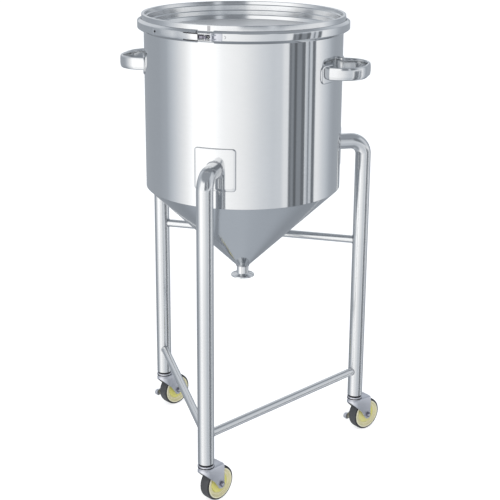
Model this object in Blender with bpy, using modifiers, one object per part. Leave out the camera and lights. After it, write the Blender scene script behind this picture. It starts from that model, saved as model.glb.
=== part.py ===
"""Mobile stainless hopper vessel: a polished shell with a cone bottom on three caster legs.

Metres, +Z up. The origin is on the floor in the middle of the whole object's box. The front leg
stands at -Y, the handles are at -X and +X, and the casters trail nearly the same way. The pieces
are made around the vessel's own axis, and main() then moves that axis to its place.
"""

from math import asin, atan2, cos, hypot, pi, radians, sin, tan

import bmesh
import bpy
from mathutils import Matrix, Vector

MM = 0.001
GAP = 0.3 * MM  # between pieces that touch or are welded
FACETS = 48  # sides of every ring around the vessel's axis, so that their corners line up
FACET_ANGLE = 2 * pi / FACETS
VESSEL_AXIS = (-5 * MM, 35 * MM, 0)  # beside the origin, because the legs and casters reach unequally

# Vessel
RIM_Z = 978 * MM  # top edge of the lid, the highest point
BODY_R = 205 * MM
WALL = 2 * MM
SEAM_Z = 617 * MM  # where the polished shell meets the satin cone
CONE_SLOPE = radians(44)  # from the horizontal
NECK_R = 12.7 * MM
NECK_WALL = 1.65 * MM
FERRULE_Z = 408 * MM
FERRULE_R = 25.25 * MM

# Lid, gasket and clamp band, as depths under the rim
RING_R = 209.2 * MM  # upright ring of the lid
RING_DEPTH = 12.2 * MM
FLANGE_R = 215.4 * MM
LID_FLANGE_DEPTHS = (15.9 * MM, 20.5 * MM)
GASKET_DEPTHS = (20.8 * MM, 23.2 * MM)
SHELL_FLANGE_DEPTHS = (23.5 * MM, 27.0 * MM, 33.2 * MM)
LID_STEPS = ((202.5 * MM, 7.5 * MM), (199.5 * MM, 19.0 * MM), (196.5 * MM, 29.0 * MM))
DISC_R = 193.5 * MM
DISC_DEPTH = 38 * MM
LID_SHEET = 2 * MM
LID_SKIRT_R = 201.5 * MM
BAND_R = 217.9 * MM
BAND_SHEET = 1.8 * MM
BAND_DEPTHS = (10.2 * MM, 14.3 * MM, 28.5 * MM, 35.0 * MM)
BAND_LIPS = (211.0 * MM, 207.6 * MM)
BAND_GAP = (radians(-9.2), radians(0.2))  # open arc of the band, from the front leg

# Band latch, with angles from the front leg, positive towards +X
PIVOT_R = 224.6 * MM
PIVOT_PIN_R = 2.3 * MM
PIN_PLAY = 0.35 * MM
LINK_PIN_ANGLE = radians(-3.2)
LINK_PIN_R = 1.8 * MM
LEVER_END = radians(-40)
LEVER_SHEET = 1.6 * MM
LEVER_R = 219.2 * MM
LEVER_RISE = ((-19.0, 0.0), (-16.0, 3.4), (-12.5, 8.2), (-6.5, 9.2))  # degrees, and mm over LEVER_R
LEVER_HOLE = (radians(-36), 1.8 * MM)
CATCH_ANGLE = radians(-10.2)

# Legs, pads and braces
LEG_CIRCLE_R = 269.5 * MM
LEG_R = 16.85 * MM
LEG_WALL = 2.6 * MM
LEG_BEND_R = 30 * MM
LEG_TOP_Z = 696 * MM
LEG_FOOT_Z = 94 * MM
LEG_ANGLES = {"front": radians(-90), "right": radians(30), "left": radians(150)}
LEG_SIDES = 16
PAD_SIDE = 84 * MM
PAD_SHEET = 2.5 * MM
PAD_CORNER = 6 * MM
BRACE_R = 8.65 * MM
BRACES = {
    "brace_front_left": ("front", "left", 154 * MM),
    "brace_front_right": ("front", "right", 154 * MM),
    "brace_rear": ("left", "right", 468 * MM),
}

# Handles
HANDLE_Z = 872 * MM
HANDLE_REACH = 263 * MM
HANDLE_HALF_SPAN = 69 * MM
HANDLE_BEND_R = 50 * MM
HANDLE_THICK = 7 * MM
HANDLE_TALL = 26 * MM
FOOT_WIDE = 46 * MM
FOOT_TALL = 35 * MM
FOOT_SHEET = 2 * MM
FOOT_CORNER = 11 * MM

# Casters, with x along the trailing direction from the swivel axis
TRAIL_ANGLES = {"front": radians(61.5), "right": radians(52.5), "left": radians(58.5)}
TRAIL = 30 * MM
WHEEL_R = 37.5 * MM
WHEEL_SIDES = 24
TYRE_HALF = 12 * MM
CENTRE_R = 32.7 * MM
AXLE_R = 4 * MM
NUT_R = 6.3 * MM
NUT_HEIGHT = 3 * MM
FORK_HALF = 16.2 * MM
FORK_SHEET = 2.3 * MM
FORK_TOP = 82.5 * MM
FORK_FOLD = 5 * MM
FORK_BOSS_R = 10.5 * MM
RACE_R = 17.2 * MM
RACE_TOP = 89.4 * MM
STEM_R = 6 * MM
STEM_SIDES = 16

# Brake levers, beside the far leg of two forks
BRAKED = ("left", "right")
BRAKE_TIP = (-4 * MM, 30 * MM)
BRAKE_TIP_R = 7 * MM
BRAKE_BOSS_R = 9 * MM
BRAKE_OFFSET = 1 * MM  # from the fork's leg
BRAKE_SHEET = 2.8 * MM
BRAKE_KNOB = 7.5 * MM

MATERIALS = {
    "mirror_steel": ((0.78, 0.79, 0.80), 1.0, 0.12),
    "satin_steel": ((0.60, 0.62, 0.64), 1.0, 0.35),
    "pressed_steel": ((0.62, 0.63, 0.66), 1.0, 0.30),
    "bolt_steel": ((0.40, 0.40, 0.43), 1.0, 0.35),
    "gasket_rubber": ((0.75, 0.75, 0.72), 0.0, 0.60),
    "wheel_plastic": ((0.72, 0.66, 0.45), 0.0, 0.45),
    "tyre_rubber": ((0.05, 0.05, 0.05), 0.0, 0.70),
}


def clear_scene():
    for thing in list(bpy.data.objects):
        bpy.data.objects.remove(thing, do_unlink=True)


def make_collections():
    groups = {}
    for name in ("hopper_vessel", "cutters"):
        groups[name] = bpy.data.collections.new(name)
        bpy.context.scene.collection.children.link(groups[name])
    return groups


def make_materials():
    made = {}
    for name, (colour, metallic, roughness) in MATERIALS.items():
        made[name] = bpy.data.materials.new(name)
        made[name].use_nodes = True
        shader = made[name].node_tree.nodes["Principled BSDF"]
        shader.inputs["Base Color"].default_value = (*colour, 1.0)
        shader.inputs["Metallic"].default_value = metallic
        shader.inputs["Roughness"].default_value = roughness
    return made


def place(name, mesh, finish, parent=None, matrix=None):
    """An object of the vessel, or a hidden cutter when it has no finish."""
    thing = bpy.data.objects.new(name, mesh)
    GROUPS["hopper_vessel" if finish else "cutters"].objects.link(thing)
    if finish:
        mesh.materials.append(STOCK[finish])
    else:
        thing.hide_render = True
        thing.display_type = "WIRE"
    thing.parent = parent
    if matrix is not None:
        thing.matrix_local = matrix
    return thing


def boolean(thing, operation, other):
    step = thing.modifiers.new(operation.lower(), "BOOLEAN")
    step.operation = operation
    step.object = other


def smooth(mesh):
    """Round sides shaded smooth, with sharp edges kept."""
    mesh.shade_smooth()
    mesh.set_sharp_from_angle(angle=radians(32))


def turned(name, profile, finish, steps=FACETS, closed=True, parent=None, matrix=None):
    """A profile of (radius, height) points, down its outer side, turned about local Z."""
    mesh = bpy.data.meshes.new(name)
    points = [(r, 0.0, z) for r, z in profile]
    edges = [(i, i + 1) for i in range(len(points) - 1)]
    if closed:
        edges.append((len(points) - 1, 0))
    mesh.from_pydata(points, edges, [])
    thing = place(name, mesh, finish, parent, matrix)
    screw = thing.modifiers.new("turn", "SCREW")
    screw.steps = steps
    screw.render_steps = steps
    screw.use_merge_vertices = True
    screw.merge_threshold = 0.00001
    return thing


def curve_mesh(curve):
    """The closed mesh of a curve, with its caps welded."""
    holder = bpy.data.objects.new("holder", curve)
    bpy.context.scene.collection.objects.link(holder)
    depsgraph = bpy.context.evaluated_depsgraph_get()
    mesh = bpy.data.meshes.new_from_object(holder.evaluated_get(depsgraph))
    bpy.data.objects.remove(holder, do_unlink=True)
    work = bmesh.new()
    work.from_mesh(mesh)
    bmesh.ops.remove_doubles(work, verts=work.verts, dist=0.00001)
    bmesh.ops.recalc_face_normals(work, faces=work.faces)
    work.to_mesh(mesh)
    work.free()
    smooth(mesh)
    return mesh


def plate_mesh(name, outline, low, high):
    """A flat outline in XY, filled and extruded from low to high."""
    curve = bpy.data.curves.new(name, "CURVE")
    curve.dimensions = "2D"
    curve.fill_mode = "BOTH"
    curve.extrude = (high - low) / 2
    spline = curve.splines.new("POLY")
    spline.points.add(len(outline) - 1)
    for point, (x, y) in zip(spline.points, outline):
        point.co = (x, y, 0.0, 1.0)
    spline.use_cyclic_u = True
    mesh = curve_mesh(curve)
    mesh.transform(Matrix.Translation((0, 0, (low + high) / 2)))
    return mesh


def tube_mesh(name, path, radius, sides, capped):
    """A round tube along the points of path. Without caps it is an open skin."""
    curve = bpy.data.curves.new(name, "CURVE")
    curve.dimensions = "3D"
    curve.bevel_depth = radius
    curve.bevel_resolution = sides // 2 - 2
    curve.use_fill_caps = capped
    spline = curve.splines.new("POLY")
    spline.points.add(len(path) - 1)
    for point, co in zip(spline.points, path):
        point.co = (*co, 1.0)
    return curve_mesh(curve)


def arc(cx, cy, radius, start, end, count):
    """Points along an arc, both ends included."""
    turns = [start + (end - start) * i / count for i in range(count + 1)]
    return [(cx + radius * cos(a), cy + radius * sin(a)) for a in turns]


def rounded_rectangle(width, height, corner, count=3):
    points = []
    x = width / 2 - corner
    y = height / 2 - corner
    for i, (cx, cy) in enumerate(((x, y), (-x, y), (-x, -y), (x, -y))):
        points += arc(cx, cy, corner, i * pi / 2, (i + 1) * pi / 2, count)
    return points


def wall_angles(start, end):
    """Angles from start to end, with a corner at each corner of the vessel's facets between."""
    first = int(start // FACET_ANGLE) + 1
    angles = [start]
    while first * FACET_ANGLE < end - radians(0.2):
        if first * FACET_ANGLE > start + radians(0.2):
            angles.append(first * FACET_ANGLE)
        first += 1
    return angles + [end]


def sector(inner, outer, start, end):
    """Outline of a strip that follows the vessel's wall, with angles from +X."""
    angles = wall_angles(start, end)
    out = [(outer * cos(a), outer * sin(a)) for a in angles]
    back = [(inner * cos(a), inner * sin(a)) for a in reversed(angles)]
    return out + back


def from_front(angle):
    """An angle measured from the front leg, as one measured from +X."""
    return radians(-90) + angle


def around(radius, angle):
    """The point at this radius and at this angle from the front leg."""
    return Vector((radius * sin(angle), -radius * cos(angle), 0))


def wall_plate(name, angle, height, size, sheet, corner, finish):
    """A plate of this width and height, with round corners, bent to the vessel's wall."""
    wide, tall = size
    half = asin(wide / 2 / BODY_R) + radians(1)
    inner = BODY_R + GAP
    low = height - tall / 2 - 2 * MM
    high = height + tall / 2 + 2 * MM
    outline = sector(inner, inner + sheet, angle - half, angle + half)
    thing = place(name, plate_mesh(name, outline, low, high), finish)
    punch = plate_mesh(name + "_punch", rounded_rectangle(tall, wide, corner), 0.15, 0.25)
    upright = Matrix.Translation((0, 0, height)) @ Matrix.Rotation(angle, 4, "Z")
    upright = upright @ Matrix.Rotation(radians(90), 4, "Y")
    cutter = place(name + "_punch", punch, None, matrix=upright)
    boolean(thing, "INTERSECT", cutter)
    return thing


def make_shell():
    top, shoulder, root = (RIM_Z - depth for depth in SHELL_FLANGE_DEPTHS)
    inside = BODY_R - WALL
    profile = [
        (inside, top),
        (FLANGE_R, top),
        (FLANGE_R, shoulder),
        (BODY_R, root),
        (BODY_R, SEAM_Z + GAP),
        (inside, SEAM_Z + GAP),
    ]
    turned("tank_shell", profile, "mirror_steel")


def make_cone():
    """A sheet cone. Its top edge is level, under the shell's wall."""
    slope = tan(CONE_SLOPE)
    bottom = SEAM_Z - (BODY_R - NECK_R) * slope
    lift = WALL / cos(CONE_SLOPE)
    inside = BODY_R - WALL
    bore = NECK_R - NECK_WALL
    profile = [
        (BODY_R, SEAM_Z),
        (NECK_R, bottom),
        (bore, bottom),
        (bore, bottom + lift - NECK_WALL * slope),
        (inside, SEAM_Z),
    ]
    turned("tank_cone", profile, "satin_steel")
    return bottom


def make_ferrule(top):
    bore = NECK_R - NECK_WALL
    lip = 2.85 * MM
    profile = [
        (bore, top - GAP),
        (NECK_R, top - GAP),
        (NECK_R, FERRULE_Z + 2 * lip),
        (FERRULE_R, FERRULE_Z + lip),
        (FERRULE_R, FERRULE_Z),
        (bore, FERRULE_Z),
    ]
    turned("outlet_ferrule", profile, "mirror_steel", steps=24)


def make_lid():
    edge = 1 * MM
    profile = [(0.0, -DISC_DEPTH), (DISC_R, -DISC_DEPTH)]
    for radius, depth in reversed(LID_STEPS):
        profile += [(radius - 3 * MM, -depth - edge), (radius, -depth)]
    inner = LID_STEPS[0][0]
    profile += [(inner, -edge), (inner + edge, 0.0), (RING_R - edge, 0.0), (RING_R, -edge)]
    profile += [(RING_R, -RING_DEPTH), (FLANGE_R, -LID_FLANGE_DEPTHS[0])]
    profile += [(FLANGE_R, -LID_FLANGE_DEPTHS[1]), (LID_SKIRT_R, -LID_FLANGE_DEPTHS[1])]
    profile += [(LID_SKIRT_R, -DISC_DEPTH - LID_SHEET), (0.0, -DISC_DEPTH - LID_SHEET)]
    turned("lid", [(r, RIM_Z + z) for r, z in profile], "mirror_steel", closed=False)


def make_gasket():
    top, bottom = (RIM_Z - depth for depth in GASKET_DEPTHS)
    inner = BODY_R - WALL
    outer = FLANGE_R - 1 * MM
    profile = [(inner, top), (outer, top), (outer, bottom), (inner, bottom)]
    turned("lid_gasket", profile, "gasket_rubber")


def make_band():
    """A sheet channel around both flanges, open at the latch, with the catch on one end."""
    lip_top, high, low, lip_bottom = (RIM_Z - depth for depth in BAND_DEPTHS)
    profile = [(BAND_LIPS[0], lip_top), (BAND_R, high), (BAND_R, low), (BAND_LIPS[1], lip_bottom)]
    band = turned("clamp_band", profile, "mirror_steel", closed=False)
    sheet = band.modifiers.new("sheet", "SOLIDIFY")
    sheet.thickness = BAND_SHEET
    sheet.offset = -1
    sheet.use_even_offset = True
    gap = sector(BODY_R - 5 * MM, BAND_R + 5 * MM, from_front(BAND_GAP[0]), from_front(BAND_GAP[1]))
    cutter = place("band_gap", plate_mesh("band_gap", gap, RIM_Z - 0.04, RIM_Z), None)
    boolean(band, "DIFFERENCE", cutter)
    middle = (high + low) / 2
    foot_end = CATCH_ANGLE - radians(3)
    foot = sector(BAND_R - 1 * MM, BAND_R + 1.2 * MM, from_front(foot_end), from_front(CATCH_ANGLE))
    half = 3.5 * MM
    catch = place("catch_foot", plate_mesh("catch_foot", foot, middle - half, middle + half), None)
    boolean(band, "UNION", catch)
    lip_end = CATCH_ANGLE + radians(0.45)
    lip = sector(BAND_R - 1 * MM, BAND_R + 3.4 * MM, from_front(CATCH_ANGLE), from_front(lip_end))
    hook = place("catch_lip", plate_mesh("catch_lip", lip, middle - half, middle + half), None)
    boolean(band, "UNION", hook)


def eye(centre, radius, count=10):
    return arc(centre.x, centre.y, radius, 0, 2 * pi * (count - 1) / count, count - 1)


def latch_levels():
    """Top and bottom of the band's flat face."""
    return RIM_Z - BAND_DEPTHS[1], RIM_Z - BAND_DEPTHS[2]


def make_latch_bracket():
    """Two ears and a pin, on the end of the band over the front leg."""
    high, low = latch_levels()
    pivot = around(PIVOT_R, 0)
    sheet = 2 * MM
    foot = sector(BAND_R + GAP, BAND_R + GAP + sheet, from_front(radians(0.3)), from_front(radians(5)))
    bracket = place("latch_bracket", plate_mesh("foot", foot, low, high), "pressed_steel")
    ears = arc(pivot.x, pivot.y, 3.6 * MM, radians(130), radians(350), 8)
    ears += [(9 * MM, -BAND_R - 1 * MM), (3 * MM, -BAND_R - 1 * MM)]
    inset = LEVER_SHEET + 0.5 * MM
    for level, bottom in (("upper", high - inset - sheet), ("lower", low + inset)):
        ear = place("ear_" + level, plate_mesh("ear", ears, bottom, bottom + sheet), None)
        boolean(bracket, "UNION", ear)
    pin_outline = eye(pivot, PIVOT_PIN_R, 12)
    pin = place("latch_pin", plate_mesh("pin", pin_outline, low - 1.2 * MM, high + 1.2 * MM), None)
    boolean(bracket, "UNION", pin)


def lever_rise(inset):
    """Points of the lever's raised end, from its strap to its open end, this far under its back."""
    return [around(LEVER_R + LEVER_SHEET + rise * MM - inset, radians(angle)) for angle, rise in LEVER_RISE]


def make_lever():
    """A strap along the band, that rises over the link and has an arm above and below it."""
    high, low = latch_levels()
    pivot = around(PIVOT_R, 0)
    empty = axis_empty("lever_axis", pivot)
    strap_end = from_front(radians(LEVER_RISE[0][0]))
    angles = wall_angles(from_front(LEVER_END), strap_end)[:-1]
    back = LEVER_R + LEVER_SHEET
    outline = [(back * cos(a), back * sin(a)) for a in angles]
    outline += [(p.x, p.y) for p in lever_rise(0)]
    outline += [(p.x, p.y) for p in reversed(lever_rise(LEVER_SHEET))]
    outline += [(LEVER_R * cos(a), LEVER_R * sin(a)) for a in reversed(angles)]
    lever = place("latch_lever", plate_mesh("strap", outline, low, high), "mirror_steel")
    arm = [around(LEVER_R, radians(a)) for a in (-4, -8, -12, -18)]
    arm += [around(LEVER_R + 0.9 * MM, radians(-19))]
    arm = [(p.x, p.y) for p in arm + lever_rise(0.4 * MM)[1:]]
    arm += arc(pivot.x, pivot.y, 3.6 * MM, radians(-110), radians(80), 6)
    for level, bottom in (("upper", high - LEVER_SHEET), ("lower", low)):
        piece = place("arm_" + level, plate_mesh("arm", arm, bottom, bottom + LEVER_SHEET), None)
        boolean(lever, "UNION", piece)
    link_pin = around(PIVOT_R, LINK_PIN_ANGLE)
    outline = eye(link_pin, LINK_PIN_R, 10)
    inset = 0.5 * LEVER_SHEET
    pin = place("link_pin", plate_mesh("pin", outline, low + inset, high - inset), None)
    boolean(lever, "UNION", pin)
    bore_outline = eye(pivot, PIVOT_PIN_R + PIN_PLAY, 12)
    bore = place("lever_bore", plate_mesh("bore", bore_outline, low - 0.01, high + 0.01), None)
    boolean(lever, "DIFFERENCE", bore)
    hole_angle, hole_r = LEVER_HOLE
    through = Matrix.Translation(around(LEVER_R, hole_angle) + Vector((0, 0, (high + low) / 2)))
    through = through @ Matrix.Rotation(from_front(hole_angle), 4, "Z") @ Matrix.Rotation(radians(90), 4, "Y")
    hole = place("lever_hole", cylinder_mesh(hole_r, 0.02, 12), None, matrix=through)
    boolean(lever, "DIFFERENCE", hole)
    attach(lever, empty)


def make_link():
    """The short link from the lever to the catch on the far end of the band."""
    high, low = latch_levels()
    middle = (high + low) / 2
    pin = around(PIVOT_R, LINK_PIN_ANGLE)
    empty = axis_empty("link_axis", pin)
    hook_angle = CATCH_ANGLE - radians(1.25)
    plan = [(p.x, p.y) for p in (
        around(PIVOT_R - 1.6 * MM, radians(-4.2)),
        around(BAND_R + 4.6 * MM, CATCH_ANGLE),
        around(BAND_R + 4.6 * MM, CATCH_ANGLE - radians(0.35)),
        around(BAND_R + 1.6 * MM, CATCH_ANGLE - radians(0.35)),
        around(BAND_R + 1.6 * MM, hook_angle),
        around(BAND_R + 7.0 * MM, hook_angle),
        around(PIVOT_R + 1.6 * MM, radians(-4.2)))]
    half = 2.6 * MM
    link = place("latch_link", plate_mesh("link", plan, middle - half, middle + half), "bolt_steel")
    ring = place("link_eye", plate_mesh("eye", eye(pin, 4 * MM, 14), middle - half, middle + half), None)
    boolean(link, "UNION", ring)
    bore_outline = eye(pin, LINK_PIN_R + PIN_PLAY, 10)
    bore = place("link_bore", plate_mesh("bore", bore_outline, low, high), None)
    boolean(link, "DIFFERENCE", bore)
    attach(link, empty)


def axis_empty(name, point, matrix=None):
    """An empty on a joint's axis."""
    empty = bpy.data.objects.new(name, None)
    GROUPS["hopper_vessel"].objects.link(empty)
    empty.matrix_world = Matrix.Translation(point) if matrix is None else matrix
    bpy.context.view_layer.update()
    return empty


def attach(thing, parent):
    """Parents a piece and leaves it where it is."""
    bpy.context.view_layer.update()
    where = thing.matrix_world.copy()
    thing.parent = parent
    thing.matrix_parent_inverse = parent.matrix_world.inverted()
    thing.matrix_basis = where


def make_handle(side, angle):
    """A tall thin bar bent to a wide bow, with a foot plate on each end."""
    half = HANDLE_HALF_SPAN - HANDLE_THICK / 2
    reach = HANDLE_REACH - HANDLE_THICK / 2
    turn = HANDLE_BEND_R
    inside = BODY_R - 25 * MM
    path = [(inside, -half)]
    path += arc(reach - turn, -half + turn, turn, radians(-90), 0, 6)
    path += arc(reach - turn, half - turn, turn, 0, radians(90), 6)
    path += [(inside, half)]
    mesh = tube_mesh("bar", [(x, y, 0.0) for x, y in path], HANDLE_THICK / 2, 12, True)
    mesh.transform(Matrix.Diagonal((1, 1, HANDLE_TALL / HANDLE_THICK, 1)))
    upright = Matrix.Translation((0, 0, HANDLE_Z)) @ Matrix.Rotation(angle, 4, "Z")
    name = "handle_" + side
    handle = place(name, mesh, "mirror_steel", matrix=upright)
    clear_r = BODY_R + GAP
    clear = [(0.0, 0.05), (clear_r, 0.05), (clear_r, -0.05), (0.0, -0.05)]
    cutter = turned(name + "_wall", clear, None, closed=False,
                    matrix=Matrix.Translation((0, 0, HANDLE_Z)))
    boolean(handle, "DIFFERENCE", cutter)
    spread = asin(half / BODY_R) + radians(1.5)
    for end, sign in (("near", -1), ("far", 1)):
        foot = wall_plate(f"{name}_{end}", angle + sign * spread, HANDLE_Z, (FOOT_WIDE, FOOT_TALL),
                          FOOT_SHEET, FOOT_CORNER, None)
        boolean(handle, "UNION", foot)


def leg_path():
    """Centre line of a leg in its own plane: out from the pad, round the bend and down."""
    start = BODY_R + GAP + PAD_SHEET + GAP
    bend = arc(LEG_CIRCLE_R - LEG_BEND_R, LEG_TOP_Z - LEG_BEND_R, LEG_BEND_R, radians(90), 0, 6)
    return [(start, 0.0, LEG_TOP_Z)] + [(x, 0.0, z) for x, z in bend] + [(LEG_CIRCLE_R, 0.0, LEG_FOOT_Z)]


def make_leg(side, angle):
    upright = Matrix.Rotation(angle, 4, "Z")
    mesh = tube_mesh("pipe", leg_path(), LEG_R, LEG_SIDES, False)
    leg = place("leg_" + side, mesh, "mirror_steel", matrix=upright)
    wall = leg.modifiers.new("wall", "SOLIDIFY")
    wall.thickness = LEG_WALL
    wall.offset = -1
    size = (PAD_SIDE, PAD_SIDE)
    wall_plate("leg_pad_" + side, angle, LEG_TOP_Z, size, PAD_SHEET, PAD_CORNER, "mirror_steel")
    inside = LEG_R - LEG_WALL - GAP
    bore = STEM_R + GAP
    plug = [(bore, 18 * MM), (inside, 18 * MM), (inside, 0.0), (bore, 0.0)]
    at_foot = leg_matrix(angle) @ Matrix.Translation((0, 0, LEG_FOOT_Z))
    turned("leg_plug_" + side, plug, "bolt_steel", steps=STEM_SIDES, matrix=at_foot)


def leg_matrix(angle):
    """On the floor under a leg, with the world's axes."""
    return Matrix.Translation((LEG_CIRCLE_R * cos(angle), LEG_CIRCLE_R * sin(angle), 0))


def cylinder_mesh(radius, length, sides):
    mesh = bpy.data.meshes.new("cylinder")
    work = bmesh.new()
    bmesh.ops.create_cone(work, cap_ends=True, segments=sides, radius1=radius, radius2=radius,
                          depth=length)
    work.to_mesh(mesh)
    work.free()
    smooth(mesh)
    return mesh


def make_brace(name, first, second, height):
    """A thin pipe between two legs, its ends cut to their round sides."""
    ends = []
    for side in (first, second):
        ends.append(leg_matrix(LEG_ANGLES[side]).translation + Vector((0, 0, height)))
    run = ends[1] - ends[0]
    middle = (ends[0] + ends[1]) / 2
    along = Matrix.Translation(middle) @ run.to_track_quat("Z", "Y").to_matrix().to_4x4()
    brace = place(name, cylinder_mesh(BRACE_R, run.length - LEG_R, 12), "mirror_steel", matrix=along)
    for index, end in enumerate(ends):
        notch = place(f"{name}_notch_{index}", cylinder_mesh(LEG_R + GAP, 0.05, LEG_SIDES), None,
                      matrix=Matrix.Translation(end))
        boolean(brace, "DIFFERENCE", notch)


def fork_side():
    """Side outline of the fork as (x, z): the sloping edge of the hood and the leg to the axle."""
    hood_front = -19 * MM
    back = TRAIL + 7.5 * MM
    boss = arc(TRAIL, WHEEL_R, FORK_BOSS_R, radians(-44), radians(-155), 6)
    top = FORK_TOP + 1 * MM
    slope = [(9.5 * MM, 49.5 * MM), (hood_front, 77 * MM)]
    return [(hood_front, top), (back, top)] + boss + slope


def hood_mesh(name, half, back, low, high, fold):
    """The hood's plan, round in front and open behind, raised from low to high with a folded rim."""
    front = arc(-1.8 * MM, 0.0, half, radians(90), radians(270), 8)
    mesh = plate_mesh(name, [(back, half)] + front + [(back, -half)], low, high)
    work = bmesh.new()
    work.from_mesh(mesh)
    bmesh.ops.dissolve_limit(work, angle_limit=radians(1), verts=work.verts, edges=work.edges)
    rim = [edge for edge in work.edges if all(abs(vert.co.z - high) < 0.01 * MM for vert in edge.verts)]
    bmesh.ops.bevel(work, geom=rim, offset=fold, segments=2, profile=0.5, affect="EDGES")
    work.to_mesh(mesh)
    work.free()
    return mesh


def side_plate(name, outline, low, high, finish, parent):
    """An outline in (x, z) extruded across the caster, from low to high along its local Y."""
    mesh = plate_mesh(name, outline, -high, -low)
    mesh.transform(Matrix.Rotation(radians(90), 4, "X"))
    return place(name, mesh, finish, parent)


def make_fork(side, parent):
    name = "caster_fork_" + side
    fork = side_plate(name, fork_side(), -0.025, 0.025, "pressed_steel", parent)
    outer = hood_mesh("plan", FORK_HALF, 0.05, -0.01, FORK_TOP, FORK_FOLD)
    boolean(fork, "INTERSECT", place(name + "_plan", outer, None, parent))
    inner = hood_mesh("hollow", FORK_HALF - FORK_SHEET, 0.06, 0.0, FORK_TOP - FORK_SHEET,
                      FORK_FOLD - FORK_SHEET)
    boolean(fork, "DIFFERENCE", place(name + "_hollow", inner, None, parent))
    race_low = FORK_TOP - 1 * MM
    race_high = FORK_TOP + 2.6 * MM
    ring = place(name + "_race", cylinder_mesh(RACE_R, race_high - race_low, STEM_SIDES), None, parent,
                 Matrix.Translation((0, 0, (race_low + race_high) / 2)))
    boolean(fork, "UNION", ring)
    hole = place(name + "_hole", cylinder_mesh(STEM_R + PIN_PLAY, 0.03, STEM_SIDES), None, parent,
                 Matrix.Translation((0, 0, FORK_TOP)))
    boolean(fork, "DIFFERENCE", hole)
    axle_hole = place(name + "_axle", cylinder_mesh(AXLE_R + GAP, 0.06, 16), None, parent, wheel_matrix())
    boolean(fork, "DIFFERENCE", axle_hole)


def make_stem(side, angle):
    """The fixed half of the swivel: a stem up into the leg, a race plate and a rivet head."""
    top = LEG_FOOT_Z + 14 * MM
    under_race = FORK_TOP + 3 * MM
    head = FORK_TOP - FORK_SHEET - 0.5 * MM
    profile = [
        (0.0, top),
        (STEM_R, top),
        (STEM_R, LEG_FOOT_Z - GAP),
        (12.5 * MM, LEG_FOOT_Z - GAP),
        (12.5 * MM, RACE_TOP),
        (RACE_R, RACE_TOP),
        (RACE_R, under_race),
        (STEM_R, under_race),
        (STEM_R, head),
        (10 * MM, head),
        (8 * MM, head - 2.3 * MM),
        (0.0, head - 2.3 * MM),
    ]
    turned("caster_stem_" + side, profile, "pressed_steel", steps=STEM_SIDES, closed=False,
           matrix=leg_matrix(angle))


def wheel_matrix():
    """The wheel's centre in its caster, with local Z along the axle."""
    return Matrix.Translation((TRAIL, 0, WHEEL_R)) @ Matrix.Rotation(radians(90), 4, "X")


def make_wheel(side, parent):
    hub_half = 13 * MM
    web_half = 9.5 * MM
    bore = AXLE_R + PIN_PLAY
    half = [(bore, hub_half), (9 * MM, hub_half), (10 * MM, web_half), (27.5 * MM, web_half),
            (29 * MM, TYRE_HALF), (CENTRE_R, TYRE_HALF)]
    mirrored = [(r, -z) for r, z in reversed(half)]
    turned("caster_wheel_" + side, half + mirrored, "wheel_plastic", steps=WHEEL_SIDES, parent=parent)
    inner = CENTRE_R + GAP
    corner = 2.5 * MM
    edge = [(inner, TYRE_HALF), (WHEEL_R - corner, TYRE_HALF), (WHEEL_R, TYRE_HALF - corner)]
    turned("caster_tyre_" + side, edge + [(r, -z) for r, z in reversed(edge)], "tyre_rubber",
           steps=WHEEL_SIDES, parent=parent)


def make_axle(side, parent):
    """A bolt through the fork, with a nut on its near end and its head outside the brake lever."""
    name = "caster_axle_" + side
    near = FORK_HALF + GAP
    far = near + (BRAKE_OFFSET + BRAKE_SHEET + GAP if side in BRAKED else 0)
    stub = 1.2 * MM
    length = near + far + 2 * (NUT_HEIGHT + stub)
    shaft = wheel_matrix() @ Matrix.Translation((0, 0, (near - far) / 2))
    axle = place(name, cylinder_mesh(AXLE_R, length, 16), "bolt_steel", parent, shaft)
    for end, height in (("nut", near + NUT_HEIGHT / 2), ("head", -far - NUT_HEIGHT / 2)):
        nut = place(f"{name}_{end}", cylinder_mesh(NUT_R, NUT_HEIGHT, 12), None, parent,
                    wheel_matrix() @ Matrix.Translation((0, 0, height)))
        boolean(axle, "UNION", nut)


def make_pedal(side, parent):
    """A brake lever on the axle, outside the far leg, with a round knob for the foot."""
    name = "brake_pedal_" + side
    x, z = BRAKE_TIP
    lean = atan2(WHEEL_R - z, TRAIL - x)
    narrow = asin((BRAKE_BOSS_R - BRAKE_TIP_R) / hypot(TRAIL - x, WHEEL_R - z))
    quarter = radians(90)
    boss = arc(TRAIL, WHEEL_R, BRAKE_BOSS_R, lean - quarter - narrow, lean + quarter + narrow, 8)
    tip = arc(x, z, BRAKE_TIP_R, lean + quarter + narrow, lean + 3 * quarter - narrow, 8)
    inner = FORK_HALF + BRAKE_OFFSET
    pedal = side_plate(name, boss + tip, inner, inner + BRAKE_SHEET, "pressed_steel", parent)
    knob = side_plate(name + "_knob", eye(Vector((x, z)), BRAKE_TIP_R, 16), inner, inner + BRAKE_KNOB, None,
                      parent)
    boolean(pedal, "UNION", knob)
    washer = side_plate(name + "_washer", eye(Vector((TRAIL, WHEEL_R)), BRAKE_BOSS_R - 1.5 * MM, 16),
                        FORK_HALF + GAP, inner + BRAKE_SHEET / 2, None, parent)
    boolean(pedal, "UNION", washer)
    bore = place(name + "_bore", cylinder_mesh(AXLE_R + PIN_PLAY, 0.06, 16), None, parent, wheel_matrix())
    boolean(pedal, "DIFFERENCE", bore)
    axis = axis_empty(f"brake_axis_{side}", None, parent.matrix_world @ wheel_matrix())
    attach(pedal, axis)


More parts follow.
